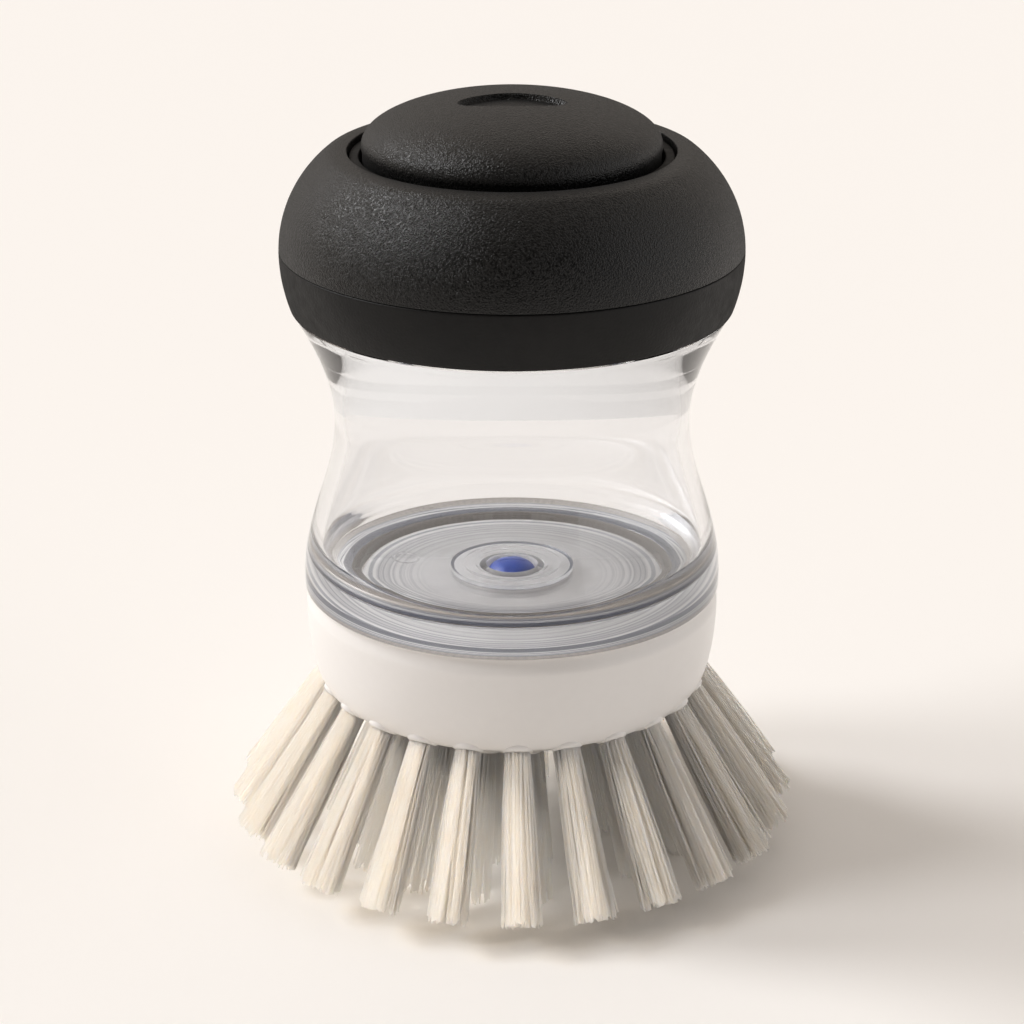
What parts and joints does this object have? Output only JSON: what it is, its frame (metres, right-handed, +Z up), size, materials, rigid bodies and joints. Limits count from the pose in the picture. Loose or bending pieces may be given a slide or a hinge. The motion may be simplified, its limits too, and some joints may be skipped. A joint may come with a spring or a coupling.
{
  "type": "soap-dispensing palm brush",
  "caption": "Palm-held dish brush with a clear soap reservoir, a domed pump button in a soft round cap, a slit outlet valve and a bowl-shaped twist-off head of splayed bristle tufts.",
  "frame": {"origin": "on the ground under the brush's axis, where the bristle tips stand", "axes": "+Z up along the brush's axis, towards the button; -Y is the pictured front"},
  "size_m": [0.0858, 0.0858, 0.1127],
  "materials": {
    "soft_grip": "fine leathery grain, matt",
    "cap_plastic": "fine texture, satin",
    "clear_plastic": "clear and smooth",
    "white_plastic": "semi-gloss white",
    "blue_silicone": "satin blue",
    "seal_silicone": "dark slate, matt",
    "spring_steel": "drawn wire",
    "nylon_bristle": "translucent off-white nylon"
  },
  "bodies": {
    "brush_head": {"brush_block": "white_plastic", "head_seal": "seal_silicone", "tuft_outer_01": "nylon_bristle", "tuft_outer_02": "nylon_bristle", "tuft_outer_03": "nylon_bristle", "tuft_outer_04": "nylon_bristle", "tuft_outer_05": "nylon_bristle", "tuft_outer_06": "nylon_bristle", "tuft_outer_07": "nylon_bristle", "tuft_outer_08": "nylon_bristle", "tuft_outer_09": "nylon_bristle", "tuft_outer_10": "nylon_bristle", "tuft_outer_11": "nylon_bristle", "tuft_outer_12": "nylon_bristle", "tuft_outer_13": "nylon_bristle", "tuft_outer_14": "nylon_bristle", "tuft_outer_15": "nylon_bristle", "tuft_outer_16": "nylon_bristle", "tuft_outer_17": "nylon_bristle", "tuft_outer_18": "nylon_bristle", "tuft_outer_19": "nylon_bristle", "tuft_outer_20": "nylon_bristle", "tuft_outer_21": "nylon_bristle", "tuft_outer_22": "nylon_bristle", "tuft_outer_23": "nylon_bristle", "tuft_outer_24": "nylon_bristle", "tuft_middle_01": "nylon_bristle", "tuft_middle_02": "nylon_bristle", "tuft_middle_03": "nylon_bristle", "tuft_middle_04": "nylon_bristle", "tuft_middle_05": "nylon_bristle", "tuft_middle_06": "nylon_bristle", "tuft_middle_07": "nylon_bristle", "tuft_middle_08": "nylon_bristle", "tuft_middle_09": "nylon_bristle", "tuft_middle_10": "nylon_bristle", "tuft_middle_11": "nylon_bristle", "tuft_middle_12": "nylon_bristle", "tuft_middle_13": "nylon_bristle", "tuft_middle_14": "nylon_bristle", "tuft_middle_15": "nylon_bristle", "tuft_middle_16": "nylon_bristle", "tuft_middle_17": "nylon_bristle", "tuft_middle_18": "nylon_bristle", "tufts_inner_01": "nylon_bristle", "tufts_inner_02": "nylon_bristle", "tufts_inner_03": "nylon_bristle"},
    "reservoir": {"reservoir": "clear_plastic", "valve_collar": "clear_plastic", "outlet_valve": "blue_silicone", "valve_clip": "white_plastic"},
    "cap_lift": {"cap_seal": "seal_silicone"},
    "cap": {"cap_core": "cap_plastic", "cap_band": "cap_plastic", "cap_grip": "soft_grip", "bellows_ring": "white_plastic", "pump_bellows": "seal_silicone", "return_spring": "spring_steel"},
    "button": {"button": "soft_grip", "button_insert": "white_plastic"}
  },
  "joints": [
    {"name": "head_twist", "type": "hinge", "parent": "brush_head", "child": "reservoir", "pos_m": [0, 0, 0.0402], "axis": [0, 0, 1], "range_deg": [0, 45]},
    {"name": "cap_rise", "type": "slide", "parent": "reservoir", "child": "cap_lift", "axis": [0, 0, 1], "range_m": [0, 0.005]},
    {"name": "cap_twist", "type": "hinge", "parent": "cap_lift", "child": "cap", "pos_m": [0, 0, 0.0824], "axis": [0, 0, 1], "range_deg": [0, 450]},
    {"name": "button_press", "type": "slide", "parent": "cap", "child": "button", "axis": [0, 0, -1], "range_m": [0, 0.004], "stiffness_N_per_m": 500, "springref_m": -0.002, "deforming": ["return_spring", "pump_bellows"]}
  ],
  "couplings": [
    {"joint": "cap_twist", "follows": "cap_rise", "rad_per_m": 1570.8}
  ]
}
